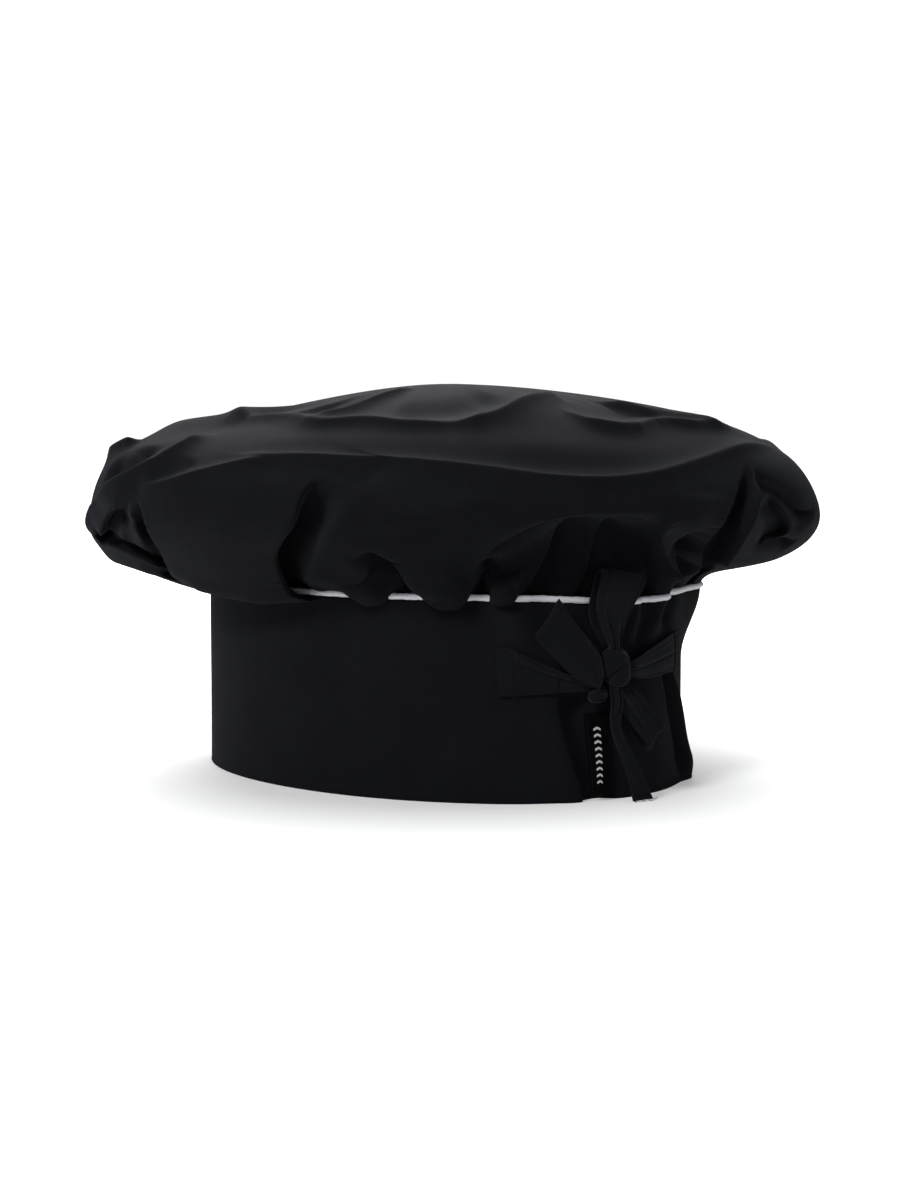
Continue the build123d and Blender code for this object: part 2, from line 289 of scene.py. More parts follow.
def weave_material(name, colour, light_colour, pitch, sheen=0.25, bump_depth=0.3, twill=True):
    """Woven cloth: threads by two wave textures across the cloth's own UV metres, with faint mottling."""
    material, nodes, shader = node_material(name)
    set_inputs(shader, Roughness=0.85, Specular_IOR_Level=0.03, Sheen_Weight=sheen,
               Sheen_Roughness=0.45, Sheen_Tint=(0.86, 0.9, 1.0, 1.0))
    place = add_node(nodes, "TexCoord")
    threads = add_node(nodes, "Math")
    threads.operation = "ADD" if twill else "MULTIPLY"
    for i, direction in enumerate("XY"):
        wave = add_node(nodes, "TexWave", Scale=WAVE_PERIOD / pitch, Distortion=0.6, Detail_Scale=2.0)
        wave.bands_direction = direction
        wire(place, "UV", wave, "Vector")
        wire(wave, "Fac", threads, i)
    mottle = add_node(nodes, "TexNoise", Scale=45, Detail=6)
    wire(place, "Object", mottle, "Vector")
    fibre = add_node(nodes, "TexNoise", Scale=1.2 / pitch, Detail=3)
    wire(place, "UV", fibre, "Vector")
    shade = add_node(nodes, "Math")
    shade.operation = "MULTIPLY_ADD"
    shade.inputs[1].default_value = 0.55
    wire(mottle, "Fac", shade, 0)
    wire(fibre, "Fac", shade, 2)
    ramp = add_node(nodes, "ValToRGB")
    ramp.color_ramp.elements[0].position = 0.45
    ramp.color_ramp.elements[0].color = (*colour, 1)
    ramp.color_ramp.elements[1].color = (*light_colour, 1)
    wire(shade, 0, ramp, "Fac")
    wire(ramp, "Color", shader, "Base Color")
    add_relief(nodes, threads, 0, shader, bump_depth, pitch)
    return material


def thread_material(name, colour):
    material, nodes, shader = node_material(name)
    set_inputs(shader, Base_Color=(*colour, 1), Roughness=0.6, Specular_IOR_Level=0.04)
    ply = add_node(nodes, "TexNoise", Scale=4000)
    wire(add_node(nodes, "TexCoord"), "Object", ply, "Vector")
    add_relief(nodes, ply, "Fac", shader, 0.5, 0.1 * MM)
    return material


def satin_material():
    material, nodes, shader = node_material("label_satin")
    set_inputs(shader, Base_Color=(0.0012, 0.0012, 0.0016, 1), Roughness=0.5, Specular_IOR_Level=0.03)
    wave = add_node(nodes, "TexWave", Scale=1100)
    wire(add_node(nodes, "TexCoord"), "UV", wave, "Vector")
    add_relief(nodes, wave, "Fac", shader, 0.25, 0.1 * MM)
    return material


def floor_material():
    """A pale floor that glows, most where the camera sees it far from the hat, which paints a contact
    shadow round the hat.
    """
    material, nodes, shader = node_material("pale_floor")
    set_inputs(shader, Base_Color=(0.72, 0.72, 0.72, 1), Roughness=0.9, Emission_Color=(1, 1, 1, 1))
    away = add_node(nodes, "VectorMath")
    away.operation = "LENGTH"
    wire(add_node(nodes, "TexCoord"), "Object", away, 0)
    # painted contact shadow: the glow that the camera sees is weaker near the hat
    painted_contact_shadow = add_node(nodes, "MapRange", From_Min=0.1, From_Max=0.3, To_Min=0.25, To_Max=1.1)
    wire(away, "Value", painted_contact_shadow, "Value")
    glow = add_node(nodes, "MapRange", To_Min=0.1)
    wire(painted_contact_shadow, "Result", glow, "To Max")
    wire(add_node(nodes, "LightPath"), "Is Camera Ray", glow, "Value")
    wire(glow, "Result", shader, "Emission Strength")
    return material


BLACK, WORN_BLACK = (0.0036, 0.0038, 0.0052), (0.0078, 0.0082, 0.0106)
black_cloth = weave_material("black_cloth", BLACK, WORN_BLACK, 0.42 * MM, sheen=0.03)
tie_cloth = weave_material("tie_cloth", BLACK, WORN_BLACK, 0.42 * MM, sheen=0.07)
lining_cloth = weave_material("lining_cloth", (0.009, 0.009, 0.0105), (0.018, 0.018, 0.02), 0.5 * MM,
                              twill=False)
white_cloth = weave_material("white_cloth", (0.66, 0.66, 0.71), (0.82, 0.82, 0.86), 0.3 * MM, sheen=0.1,
                             bump_depth=0.2)
fibre_cloth = weave_material("fibre_cloth", (0.5, 0.5, 0.48), (0.66, 0.66, 0.63), 0.7 * MM, twill=False)
cord_cotton = weave_material("cord_cotton", (0.6, 0.59, 0.55), (0.78, 0.77, 0.73), 0.5 * MM)
black_thread = thread_material("black_thread", (0.009, 0.0093, 0.0115))


# ---------- band

outside = Oval(HALF_WIDTH, HALF_LENGTH, END_RADIUS)
BOW_RUN = float(outside.run_at_azimuth(math.radians(BOW_AZIMUTH)))
ALL_ROUND = np.linspace(0, outside.length, 720, endpoint=False)[:, None]  # the band's columns


def from_bow(run):
    """Distance in mm from the bow along the band, the shorter way round, positive anticlockwise."""
    return (np.mod(run - BOW_RUN + outside.length / 2, outside.length) - outside.length / 2) / MM


def band_relief(run, height):
    """How far the band's cloth stands off its oval: the ties draw it into soft pleats below the bow."""
    a, b = from_bow(run), height / MM
    out = np.zeros(a.shape)
    for folds, ends in ((BAND_FOLDS, 0.25), (BAND_FLARES, 0.5)):
        for path, width, rise, lean in folds:
            x, fade, _ = fold(a, b, path, width, lean, ends)
            out += bump(x) * fade * rise
    return out * MM


# Each is a path of (mm along the band from the bow, mm up), then the fold's width, height and lean.
BAND_FOLDS = (
    # the pleat that the left tie pulls under itself, and the recess beside it
    (((-25, 52), (-22.5, 36), (-20, 24), (-14, 6), (-9, -16)), 4, 2.4, 0.9),
    (((-18, 50), (-14, 28), (-6, 6), (1, -12)), 6.5, -5.6, 0.3),
    # the fold under the right tie, running out to the corner
    (((27, 56), (32.5, 40.5), (36, 31), (42, 20.5), (48, 8), (52, 0)), 3, -4.6, -0.2),
    (((31, 50), (34.5, 41), (40.5, 31), (47.5, 20.5), (54.5, 10.5), (62, -4)), 4.2, 3.6, 0),
    # soft folds between the ties and the seam
    (((-48, 92), (-42, 70), (-30, 54)), 5, 1.6, 0),
    (((-58, 88), (-50, 68), (-42, 58)), 5, -2, 0),
    (((-32, 88), (-28, 70), (-18, 58)), 4.5, -2.2, 0),
    (((10, 88), (10, 66), (5, 54)), 3.5, 1.8, 0),
    (((16, 88), (15, 66), (9, 54)), 3, -1.6, 0),
    (((36, 96), (27, 72), (14, 56)), 4.5, 2.4, 0),
    (((46, 92), (36, 72), (24, 60)), 4, -2.8, 0),
    (((-110, 30), (-75, 40), (-45, 34)), 12, 0.8, 0),
    (((-130, 70), (-100, 40), (-80, 10)), 16, -0.7, 0),
    # the side turned from the bow stands out a little
    (((-205, 150), (-205, -80)), 50, 3.4, 0),
    (((66, 150), (66, -80)), 26, -2.2, 0),
)
# Flared corners at the right of the bow, fading in over half their paths.
BAND_FLARES = (
    (((66, 22), (68, -22)), 14, 4.6, 0),
    (((68, 47), (70, 101)), 15, 7.4, 0),
)
PIPING_RADIUS = 1.2 * MM
SEAM_DIP = 2.3 * MM  # how far the ties pull the seam down beside the bow
DIP_PLACE, DIP_REACH = 12, 30  # mm along the band, from the bow and on either side


def seam_height(run):
    """Height of the band's upper edge."""
    return BAND_TOP - SEAM_DIP * bump((from_bow(run) - DIP_PLACE) / DIP_REACH)


def wall_point(run, height, offset=0.0):
    """Points on the band, offset outwards from its outer face, with their outward normals."""
    run, height = np.broadcast_arrays(np.asarray(run, float), np.asarray(height, float))
    point, normal = outside.at(run)
    point = point + normal * (offset + band_relief(run, height))[..., None]
    point[..., 2] = height
    return point, normal


def band_wall(name, offset, low, high, thickness, material, node):
    """One layer of the band, between two heights, its outer face at offset from the band's."""
    height = np.linspace(low, high, 72)[None]
    height = height - (BAND_TOP - seam_height(ALL_ROUND)) * height / BAND_TOP
    point, _ = wall_point(ALL_ROUND, height, offset)
    cloth = grid_mesh(name, point, True, (ALL_ROUND, height), material)
    thicken(cloth, thickness)
    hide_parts(node)


def band():
    """The outer cloth, the stiffening that stops short of the seam, and the lining."""
    inner_face = LINING_HIGH[0] - HALF_WIDTH
    outer, stiff, lining = 0.6 * MM, MM, 0.5 * MM
    band_wall("band_cloth", 0.0, BAND_LOW[2] + outer / 2, BAND_TOP, outer, black_cloth,
              "band_outer_cloth")
    band_wall("band_stiffening", -0.8 * MM, LINING_LOW[2] + stiff, BAND_TOP - 4 * MM, stiff, fibre_cloth,
              "band_interfacing")
    band_wall("band_lining_cloth", inner_face, BAND_LOW[2] + lining, BAND_TOP, lining, lining_cloth,
              "band_lining")
    band_hem(lining - inner_face)


def band_hem(depth):
    """The turned-up lower edge, depth across, that joins the outer cloth to the lining."""
    turn = np.linspace(0, math.pi, 9)[None]
    offset = -depth / 2 * (1 - np.cos(turn))
    height = BAND_LOW[2] + 0.55 * MM - 0.5 * MM * np.sin(turn)
    point, normal = wall_point(ALL_ROUND, height)
    point = point + normal * offset[..., None]
    hem = grid_mesh("band_hem", point, True, (ALL_ROUND, offset), black_cloth)
    thicken(hem, 0.4 * MM, 0.0)


def piping():
    """A white tube that lies in the seam, on the band's upper edge."""
    turn = np.linspace(0, 2 * math.pi, 16)[None]
    ripple = 0.06 * MM * np.sin(ALL_ROUND * 900) + 0.05 * MM * np.sin(ALL_ROUND * 2100 + 1)
    edge = seam_height(ALL_ROUND)
    seam, normal = wall_point(ALL_ROUND, edge + 0 * turn)
    uv = (ALL_ROUND, turn * PIPING_RADIUS)
    for name, size, material, slot, node in (
        ("piping_cover_cloth", PIPING_RADIUS + ripple, white_cloth, "white_piping", "piping_cover"),
        ("piping_core", 0.7 * PIPING_RADIUS, cord_cotton, "cotton_cord", "piping_cord"),
    ):
        point = seam + normal * (size * np.cos(turn))[..., None]
        point[..., 2] = edge + PIPING_RADIUS + size * np.sin(turn)
        tube = grid_mesh(name, point, True, uv, material)
        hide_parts(node)


band()
piping()


# ---------- crown

# One row for each direction in degrees: the lowest drop of the cloth (how far outside the seam, height),
# the rim's underside, the rim, the shoulder above it, and the top, each as (radius, height).
CROWN_SHAPE = (
    (-40, (7, 72), (126, 81), (143, 95), (133, 125), (88, 139)),
    (-15, (7, 71), (114, 79), (138, 99), (131, 124), (84, 139)),
    (8, (8, 71), (110, 80), (137, 102), (131, 122), (84, 140)),
    (28, (7, 76), (108, 83), (134, 103), (129, 121), (82, 142)),
    (50, (7, 78), (110, 84), (134, 104), (129, 121), (80, 144)),
    (58, (6, 79), (110, 88), (134, 105), (129, 121), (80, 145)),
    (66, (4, 84), (112, 96), (135, 106), (129, 121), (80, 146)),
    (73, (3, 87), (114, 102), (135, 107), (129, 121), (80, 146)),
    (84, (3, 86), (114, 99), (136, 106), (130, 121), (80, 145)),
    (95, (4, 82), (115, 90), (137, 105), (130, 122), (80, 145)),
    (112, (5, 80), (123, 86), (142, 103), (132, 126), (82, 144)),
    (140, (6, 78), (135, 84), (150, 101), (135, 126), (86, 144)),
    (165, (8, 74), (122, 82), (142, 101), (134, 125), (86, 141)),
    (195, (8, 73), (120, 80), (139, 100), (131, 125), (85, 141)),
    (230, (9, 73), (118, 80), (138, 101), (130, 126), (84, 142)),
    (260, (8, 73), (120, 80), (140, 101), (132, 126), (86, 141)),
    (290, (8, 73), (118, 80), (141, 99), (133, 126), (86, 141)),
)
APEX = 153.5
LEVELS = (0.0, 0.14, 0.3, 0.46, 0.6, 0.8, 1.0)  # where each of these lies along the cloth, seam to centre
CLOTH_RADIUS = 215.0  # of the round piece the crown is cut from, mm
MEAN_RADIUS, MEAN_LENGTH = 120.0, 230.0  # mm, that turn degrees and shares into distances on the cloth
PATH_STEPS = 3  # pieces between two points of a fold's path
FOLD_REACH = 7.0  # widths away from its path at which a fold has died out
ROLL_FULL, ROLL_TAIL = 1.5, 1.1  # widths from a fold to where its edge slides furthest, and on to rest
SEAM_HOLD, SEAM_GRIP, CENTRE_HOLD = 0.04, 0.12, 0.15  # shares over which seam and centre hold the cloth


def crease(path, width, depth, lean=0.0, roll=0.0, aim=None):
    """A sharp valley, depth mm deep. Its right edge hangs over it by roll mm, or its left if negative.

    It is pushed square to the cloth, or level towards aim degrees.
    """
    return path, width, -depth, lean, roll, aim, tent


def ridge(path, width, height, lean=0.0):
    """A sharp ridge, height mm high."""
    return path, width, height, lean, 0.0, None, tent


def trench(path, width, depth, lean=0.0, roll=0.0, aim=None):
    """A valley with a broad floor."""
    return path, width, -depth, lean, roll, aim, dome


def swell(path, width, height, lean=0.0, aim=None):
    """A soft rise, or a soft hollow if height is negative."""
    return path, width, height, lean, 0.0, aim, bump


def lobe(path, width, height, lean=0.0):
    """A rise with a broad top."""
    return path, width, height, lean, 0.0, None, dome


BOW_SIDE = 50  # degrees, the way that the left of the bow faces

# Paths are (degrees, per cent of the way from seam to centre). Widths and heights are mm.
CROWN_FOLDS = (
    # the deep fold that the left panel hangs over
    trench(((33, 59), (30, 54), (27.3, 48), (23.3, 42), (19.3, 37), (15.8, 30), (14.2, 20), (16, 8),
            (17, -10)), 7.5, 28, -0.35, 8, BOW_SIDE),
    trench(((20, 30), (22, 17), (22.5, -10)), 9, 10, aim=BOW_SIDE),
    crease(((41, 63), (39, 60), (36, 56)), 9, 3.6, 0.5, aim=BOW_SIDE),
    swell(((42, 56), (56, 54), (64, 50)), 10, -1.6),
    swell(((38, 46), (48, 50), (58, 53)), 7, 1.4),
    swell(((34, 40), (48, 43), (60, 47)), 7, -1.2),
    # three small lobes that droop over the piping
    crease(((32.5, 35), (37.5, 36), (41, 31), (44, 20), (45, -5)), 6.5, 15, 0.5, -4),
    lobe(((31, 26), (32.5, 15), (33, -10)), 9, 3.5),
    lobe(((46, 36), (49, 20), (50, -10)), 10, 4.8),
    crease(((57, 34), (58.5, 25), (57.5, 16), (57, -10)), 3.5, 8, 0, 1),
    lobe(((62, 20), (61.5, 10), (61.5, -10)), 5.5, 4.5),
    crease(((58, 32), (61, 20), (64, 6)), 2.5, 2.2),
    # the arch above the bow, and flat pleats hanging inside it
    crease(((57, 34), (62, 38.5), (66, 43), (70, 44.5), (76, 44), (83, 40)), 5, 6.5, 0.6, -2),
    crease(((70, 44), (71, 30), (70, 17), (66.5, 3), (65.5, -10)), 6, 5.4, -0.7, 2.2),
    crease(((80, 38), (79.5, 24), (78.5, 12), (77, 0), (76.5, -10)), 5.5, 3.8, -0.7, 1.8),
    trench(((78, 47), (82, 38), (86, 26), (89, 12), (90, -10)), 11, 7, aim=BOW_SIDE),
    # the pocket right of the arch, with the narrow ridge at its left
    ridge(((89, 48), (86, 44.5), (88, 38), (94, 31), (98.5, 20), (102, 11)), 4, 3.6, -0.2),
    swell(((94, 43), (96, 36), (100, 28)), 5, -4),
    crease(((95, 36), (99, 30), (102, 24), (107, 15)), 4, 8),
    # the edge of the front bulge, the ribbon behind it and the end lobe
    trench(((108, 58.5), (102.5, 55), (99, 50), (98, 44), (100.5, 37), (105, 28), (111, 16), (113, -5)),
           3.8, 12, -0.3, 3.4, BOW_SIDE),
    swell(((92, 54), (91, 45), (96, 36)), 8, 2.5),
    ridge(((106, 56), (103, 50), (102.5, 44), (105.5, 36), (110, 27)), 3, 4.5),
    crease(((106, 57), (110, 55), (116, 52), (121, 49), (127, 46.5)), 8, 6, 0.65, -3),
    trench(((108, 51), (112, 44), (116, 38)), 8, 11, aim=BOW_SIDE),
    crease(((113, 36), (119, 37), (125, 37)), 4, 5, 0.3, 1.5),
    # the pocket at the left, behind the panel's left edge
    trench(((-6, 51.5), (-3, 48), (-3, 44), (-5, 39), (-11, 33), (-20, 26)), 5, 15, 0.6, -5, BOW_SIDE),
    trench(((-7, 49.5), (-12, 50), (-18, 48), (-24, 46), (-30, 44)), 5, 11, -0.5, 4, BOW_SIDE),
    trench(((-26, 47), (-20, 45.5), (-14, 42), (-10.5, 37.5), (-9, 33)), 6.5, 13, 0.5, -4, BOW_SIDE),
    swell(((-8, 49), (-11, 44), (-12, 38)), 7, -5, aim=BOW_SIDE),
    swell(((-36, 36), (-27, 35.5), (-18, 32)), 9, 2.2),
    swell(((-14, 30), (0, 24), (12, 19)), 12, 2.4),
    ridge(((-5, 53.5), (-10, 53.5), (-18, 52), (-26, 49.5), (-32, 44.5)), 4, 3),
    # the main ridge round the front, and the ones that run into it at the left
    ridge(((6, 66), (14, 64), (24, 63.5), (36, 62.5), (44, 62), (56, 60),
           (66, 57.5), (75, 56.8), (83, 58), (92, 60), (104, 61.5), (116, 62), (130, 61)), 4, 3.4, -0.2),
    ridge(((-6, 54), (3, 55.5), (10, 58.5), (16, 61.5), (22, 63)), 4, 2.6),
    ridge(((-6, 73), (-3, 66), (-4, 60), (-11, 55.5), (-22, 52.5)), 4, 3.4),
    swell(((4, 63), (2, 59.5), (-4, 56.5)), 6, -1.8),
    swell(((-16, 66), (-16, 60), (-24, 56)), 8, -4),
    ridge(((-44, 60), (-35, 61), (-28, 66)), 4, 4),
    # soft folds across the top
    swell(((5, 70), (25, 69), (55, 67), (85, 65), (115, 66)), 9, 1.2),
    ridge(((-30, 80), (-8, 79), (11, 78.5), (22, 75), (31, 75.5), (42, 73.5), (53, 73),
           (62, 75)), 4, 2.8, -0.3),
    ridge(((16, 77.5), (24, 80), (26, 85), (30, 93)), 4, 2.6),
    ridge(((50, 72.5), (60, 74.5), (70, 79), (90, 84)), 4, 3),
    ridge(((78, 79), (80, 74), (88, 71.2), (101, 72.5), (110, 70), (126, 68)), 4, 3, -0.3),
    swell(((36, 80), (55, 80), (66, 85)), 9, -2.6),
    swell(((90, 76), (104, 78)), 9, -2),
    swell(((0, 85), (20, 86)), 9, -2),
    swell(((-52, 72), (-30, 77), (-8, 82)), 12, 3.6),
    lobe(((100, 80), (112, 74), (118, 70)), 7, 2.6),
    # the back, gathered into bigger folds
    ridge(((136, 60), (150, 63), (164, 61), (178, 60), (190, 63)), 4, 2.6),
    ridge(((182, 60), (198, 58.5), (214, 61), (232, 60), (248, 58.5)), 4, 3),
    ridge(((240, 62), (258, 60), (276, 61), (296, 60), (312, 61)), 4, 2.8),
    ridge(((140, 78), (160, 74), (180, 76), (204, 74)), 5, 2.4),
    ridge(((214, 74), (236, 77), (258, 75), (282, 78)), 5, 2.4),
    swell(((150, 70), (200, 68), (240, 70)), 10, -2),
    crease(((146, 58), (149, 42), (147, 20), (146, -10)), 8, 12, 0.4, -3),
    crease(((166, 60), (163, 40), (166, 20), (165, -10)), 7, 10, -0.4, 3),
    crease(((188, 56), (186, 40), (189, 20), (190, -10)), 8, 13, 0.4, -3),
    crease(((208, 60), (205, 42), (204, 20), (205, -10)), 7, 11, -0.3, 2),
    crease(((228, 58), (231, 40), (229, 20), (228, -10)), 8, 12, 0.3, -3),
    crease(((250, 62), (253, 42), (251, 20), (252, -10)), 8, 13, -0.4, 3),
    crease(((272, 57), (270, 40), (272, 20), (273, -10)), 7, 11, 0.3, -2),
    crease(((292, 60), (295, 42), (293, 20), (292, -10)), 8, 12, -0.4, 3),
    crease(((310, 50), (307, 36), (309, 20), (310, -10)), 6, 7, 0.2),
)


def periodic_spline(known, values, wanted):
    """Smooth periodic interpolation (Catmull-Rom with uneven steps) of values over degrees."""
    known = np.asarray(known, float)
    values = np.asarray(values, float)
    knots = np.concatenate([known[-2:] - 360, known, known[:3] + 360])
    points = np.concatenate([values[-2:], values, values[:3]])
    slopes = (points[2:] - points[:-2]) / (knots[2:] - knots[:-2])[:, None]
    turned = (np.asarray(wanted) - known[0]) % 360 + known[0]
    return spline(knots[1:-1], points[1:-1], slopes, turned)


def along_profile(stations, levels, wanted):
    """Catmull-Rom through the stations (stations, columns, 2) at the wanted levels (rows)."""
    levels = np.asarray(levels)
    before = 2 * stations[:1] - stations[1:2]
    mirrored = stations[-2:-1] * np.array([-1.0, 1.0])
    points = np.concatenate([before, stations, mirrored])
    knots = np.concatenate([[2 * levels[0] - levels[1]], levels, [2 * levels[-1] - levels[-2]]])
    slopes = (points[2:] - points[:-2]) / (knots[2:] - knots[:-2])[:, None, None]
    return spline(levels, stations, slopes, wanted)


def crown_meridians(degrees, share):
    """The crown's surface before its folds, as (columns, rows, 3) in mm."""
    seam_run = outside.run_at_azimuth(np.radians(degrees))
    seam, _ = wall_point(seam_run, BAND_TOP)
    seam_radius = (np.hypot(seam[:, 0], seam[:, 1]) - PIPING_RADIUS) / MM
    dip = (BAND_TOP - seam_height(seam_run)) / MM
    shape = periodic_spline([row[0] for row in CROWN_SHAPE],
                            [[v for pair in row[1:] for v in pair] for row in CROWN_SHAPE], degrees)
    shape = shape.reshape(len(degrees), -1, 2).swapaxes(0, 1)
    shape[0, :, 0] += seam_radius
    shape[0, :, 1] -= dip
    start = np.stack([seam_radius, BAND_TOP / MM - 0.5 - dip], -1)[None]
    centre = np.tile([0.0, APEX], (1, len(degrees), 1))
    meridian = along_profile(np.concatenate([start, shape, centre]), LEVELS, share)
    radius, height = meridian[..., 0].T, meridian[..., 1].T
    spin = np.radians(degrees)[:, None]
    return np.stack([radius * np.cos(spin), radius * np.sin(spin), height], -1)


def surface_directions(point):
    """Unit vectors round the crown, up its meridians and out of it, at each point."""
    around = np.roll(point, -1, 0) - np.roll(point, 1, 0)
    upward = np.gradient(point, axis=1)
    outward = np.cross(around, upward)
    return unit(around), unit(upward), unit(outward)


def crown_points(degrees, share):
    """The folded crown as (columns, rows, 3) in metres."""
    point = crown_meridians(degrees, share)
    around, upward, outward = surface_directions(point)
    share = share[None] + np.zeros_like(degrees)[:, None]
    grip = smooth(share / SEAM_GRIP)
    moved = np.zeros(point.shape)
    for path, width, height, lean, roll, aim, profile in CROWN_FOLDS:
        middle = sum(p[0] for p in path) / len(path)
        metric = [(math.radians(p[0] - middle) * MEAN_RADIUS, p[1] / 100 * MEAN_LENGTH) for p in path]
        metric = smooth_path(metric, PATH_STEPS * (len(path) - 1) + 1)
        east = np.radians((degrees - middle + 180) % 360 - 180) * MEAN_RADIUS
        near = np.abs(east) < np.abs(metric[:, 0]).max() + FOLD_REACH * width
        a, b = np.broadcast_arrays(east[near, None], share[near] * MEAN_LENGTH)
        x, fade, right = fold(a, b, metric, width, lean)
        push = outward[near]
        if aim is not None:
            push = np.array([math.cos(math.radians(aim)), math.sin(math.radians(aim)), 0.0])
        over = np.maximum(x * np.sign(roll), 0)
        past = np.maximum(over - ROLL_FULL, 0)
        slip = -roll * smooth(over / ROLL_FULL) * bump(past / ROLL_TAIL) * fade * grip[near]
        slide = around[near] * right[..., :1] + upward[near] * right[..., 1:]
        moved[near] += push * (profile(x) * fade * height)[..., None] + slide * slip[..., None]
    hold = smooth(share / SEAM_HOLD) * smooth((1 - share) / CENTRE_HOLD)
    return (point + moved * hold[..., None]) * MM


def crown():
    degrees = np.linspace(-180, 180, 1080, endpoint=False)
    share = np.linspace(0, 1, 240)
    cut_radius = CLOTH_RADIUS * MM
    spin, flat_radius = np.radians(degrees)[:, None], cut_radius * (1 - share)
    uv = (flat_radius * np.cos(spin), flat_radius * np.sin(spin))
    cloth = grid_mesh("crown_top", crown_points(degrees, share), True, uv, black_cloth)
    weld(cloth)
    thicken(cloth, CLOTH)
    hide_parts("crown_cloth")


crown()


# ---------- ties

TAPE = 0.9 * MM  # thickness of a tie, which is folded and sewn double
TAPE_WIDTH = 17 * MM
SEWN_AT, SEWN_WIDTH, SEWN_DEPTH = 0.1, 0.03, 0.35  # of the sewn line: shares from an edge, then mm
HEM_WIDTH, HEM_DEPTH = 0.012, 0.4  # of the step where an end is turned under: share along, then mm
LIP_WIDTH, LIP_HEIGHT = 0.02, 0.15  # of the slight rise past that step
WRAP_RADIUS = 12 / math.pi * MM  # that turns angles on the knot into the cloth's own metres
CREASE_FADE = 0.12  # share along a tie over which a crease begins and ends
BOW_SHIFT, BOW_RAISE = -3.6 * MM, 1.5 * MM  # from the bow's place on the band to the knot's middle


def bow_frame():
    """Origin on the band behind the knot, and the unit vectors along the band, up and outwards."""
    point, normal = outside.at(np.array(BOW_RUN + BOW_SHIFT))
    origin = np.array([point[0], point[1], BOW_CENTRE[2] + BOW_RAISE])
    return origin, np.array([-normal[1], normal[0], 0.0]), np.array([0, 0, 1.0]), normal


def bow_point(spots):
    """World points for (along, up, out) spots in mm."""
    origin, along, up, out = bow_frame()
    spots = np.asarray(spots, float) * MM
    return origin + spots[..., :1] * along + spots[..., 1:2] * up + spots[..., 2:] * out


def tape(name, left, right, node, bulge=0.0, creases=(), place=bow_point, hems=(), bend=None):
    """A tie that runs between two edges, given as lists of (along, up, out) in mm from its root.

    bulge is how far its middle stands up between the edges, and each crease is (share across,
    share along where it starts, share along where it ends, width in shares, height in mm). hems are the
    shares along where its end is turned under, which shows as a step. bend names a body and the spots
    where a bend away from the hat would start and stop; these are not used, and a tie given bend moves
    with no body.
    """
    length, width = 96, 28  # points along it and across it
    one, two = smooth_path(left, length), smooth_path(right, length)
    across = np.linspace(0, 1, width)[None, :, None]
    spots = one[:, None] * (1 - across) + two[:, None] * across
    normal = unit(np.cross(np.gradient(spots, axis=1), np.gradient(spots, axis=0)))
    q = across[..., 0]
    along = np.linspace(0, 1, length)[:, None]
    lift = bulge * (1 - (2 * q - 1) ** 2)
    lift = lift - SEWN_DEPTH * bump((np.minimum(q, 1 - q) - SEWN_AT) / SEWN_WIDTH)
    for hem in hems:
        lift = lift - HEM_DEPTH * bump((along - hem) / HEM_WIDTH)
        lift = lift + LIP_HEIGHT * bump((along - hem) / LIP_WIDTH - 1)
    for middle, start, end, size, height in creases:
        fade = smooth((along - start) / CREASE_FADE) * smooth((end - along) / CREASE_FADE)
        lift = lift + height * bump((q - middle) / size) * fade
    point = place(spots + normal * lift[..., None])
    steps = np.linalg.norm(np.diff(point[:, width // 2], axis=0), axis=1)
    v = np.concatenate([[0], np.cumsum(steps)])[:, None]
    tie = grid_mesh(name, point, False, (q * TAPE_WIDTH, v), tie_cloth, body=None if bend else "hat")
    thicken(tie, TAPE, 0.0)
    rounding = tie.modifiers.new("edge", "BEVEL")
    rounding.width = 0.25 * MM
    rounding.segments = 2
    rounding.limit_method = "ANGLE"
    rounding.angle_limit = math.radians(50)
    apply_modifiers(tie)
    if bend:
        body, start, end = bend
        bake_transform(tie)
    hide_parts(node)


def strap_point(spots):
    """World points for (along the band from the bow, up from the knot's centre, out) spots in mm."""
    spots = np.asarray(spots, float) * MM
    height = spots[..., 1] + BOW_CENTRE[2]
    point, normal = outside.at(BOW_RUN + spots[..., 0])
    relief = np.maximum(band_relief(BOW_RUN + spots[..., 0], height), -0.4 * MM)
    point = point + normal * (spots[..., 2] + relief)[..., None]
    point[..., 2] = height
    return point


def straps():
    left_top = [(-45.5, 8.2, 1), (-41, 8, 1), (-36, 5.8, 1.6), (-26, 0.8, 2.4), (-16, -3.4, 3.4),
                (-7, -6.2, 5)]
    left_low = [(-44.3, -9.6, 1), (-40, -9.3, 1), (-34, -8.9, 1.1), (-24, -8.2, 1.5), (-15, -8, 2.6),
                (-7, -8.4, 4)]
    tape("left_strap", left_top, left_low, "left_tie_strap", 0.25,
         ((0.1, 0.12, 1.1, 0.07, 1.5), (0.26, 0.16, 1.1, 0.07, -0.7)), strap_point, (0.17,))
    right_top = [(-3, 1.6, 6.6), (4, 2.6, 6.2), (10, 4.2, 4.5), (18, 6.6, 2.6), (28, 9, 1.6),
                 (36, 10.6, 1), (40.5, 11.2, 1)]
    right_low = [(-3, -2.6, 6.6), (4, -3.4, 6.2), (10, -4.4, 4), (18, -4.8, 2.2), (28, -4.4, 1.4),
                 (36, -4.2, 1), (40.5, -4, 1)]
    tape("right_strap", right_top, right_low, "right_tie_strap", 0.3,
         ((0.42, 0.1, 0.9, 0.05, 0.8), (0.52, 0.1, 0.85, 0.06, -0.8)), strap_point, (0.87,))


